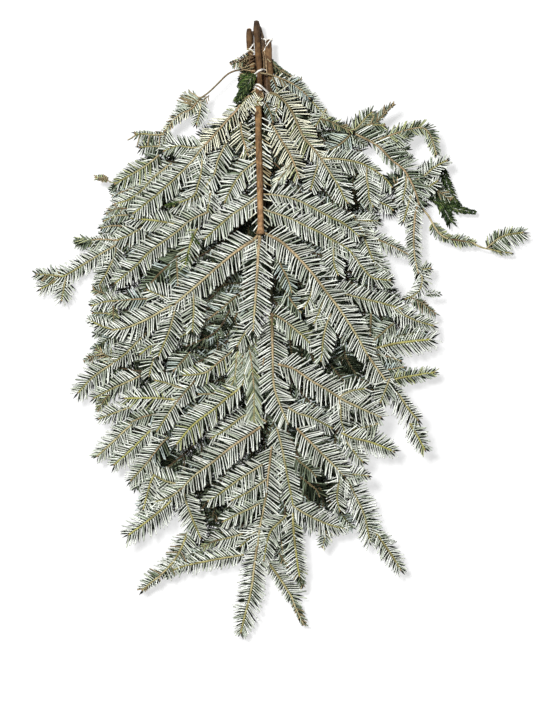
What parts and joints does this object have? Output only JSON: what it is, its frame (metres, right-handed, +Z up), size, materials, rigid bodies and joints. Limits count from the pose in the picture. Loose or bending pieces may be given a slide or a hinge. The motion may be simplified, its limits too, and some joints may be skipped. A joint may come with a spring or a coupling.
{
  "type": "tied bunch of fir boughs",
  "caption": "Bunch of cut fir boughs tied with white twine near the cut ends, lying flat with the silver undersides of the needles up.",
  "frame": {"origin": "on the surface that the bunch lies on, under the middle of its outline", "axes": "+Y along the bunch towards the cut ends, +X across it, +Z up from the surface"},
  "size_m": [0.7889, 0.9895, 0.085],
  "materials": {
    "needles": null,
    "bark": "thin brown bark with leaf scars, matt, paler and more orange on the younger wood",
    "twine": "white twisted cotton twine, matt"
  },
  "bodies": {
    "root": {"back_drop_left": "needles", "back_drop_left_outer": "needles", "back_leader": "needles", "back_low_far": "needles", "back_low_inner": "needles", "back_low_left": "needles", "back_low_left_end": "needles", "back_low_right": "needles", "back_low_right_end": "needles", "back_side_left_low": "needles", "back_side_left_middle": "needles", "back_side_left_outer": "needles", "back_side_right": "needles", "back_side_right_low": "needles", "back_stem": "bark", "back_tip_left": "needles", "back_tip_middle": "needles", "back_tip_right": "needles", "base_left": "needles", "base_low_left": "needles", "base_low_right": "needles", "base_lower": "needles", "base_right": "needles", "base_upper": "needles", "front_fork_left": "needles", "front_fork_left_inner": "needles", "front_fork_left_outer": "needles", "front_fork_right": "needles", "front_fork_right_tip": "needles", "front_leader": "needles", "front_limb_left": "needles", "front_limb_left_end": "needles", "front_limb_right": "needles", "front_limb_right_end": "needles", "front_limb_right_side": "needles", "front_side_left_lower": "needles", "front_side_left_upper": "needles", "front_side_right_lower": "needles", "front_side_right_upper": "needles", "front_stem": "bark", "left_collar": "needles", "left_far": "needles", "left_inner": "needles", "left_long": "needles", "left_middle": "needles", "left_outer": "needles", "left_shoulder": "needles", "left_stem": "bark", "right_collar": "needles", "right_far": "needles", "right_hanging": "needles", "right_inner": "needles", "right_limb": "needles", "right_loop": "needles", "right_middle": "needles", "right_stem": "bark", "right_turned": "needles", "twine_lower": "twine", "twine_top": "twine", "twine_upper": "twine"}
  },
  "joints": []
}
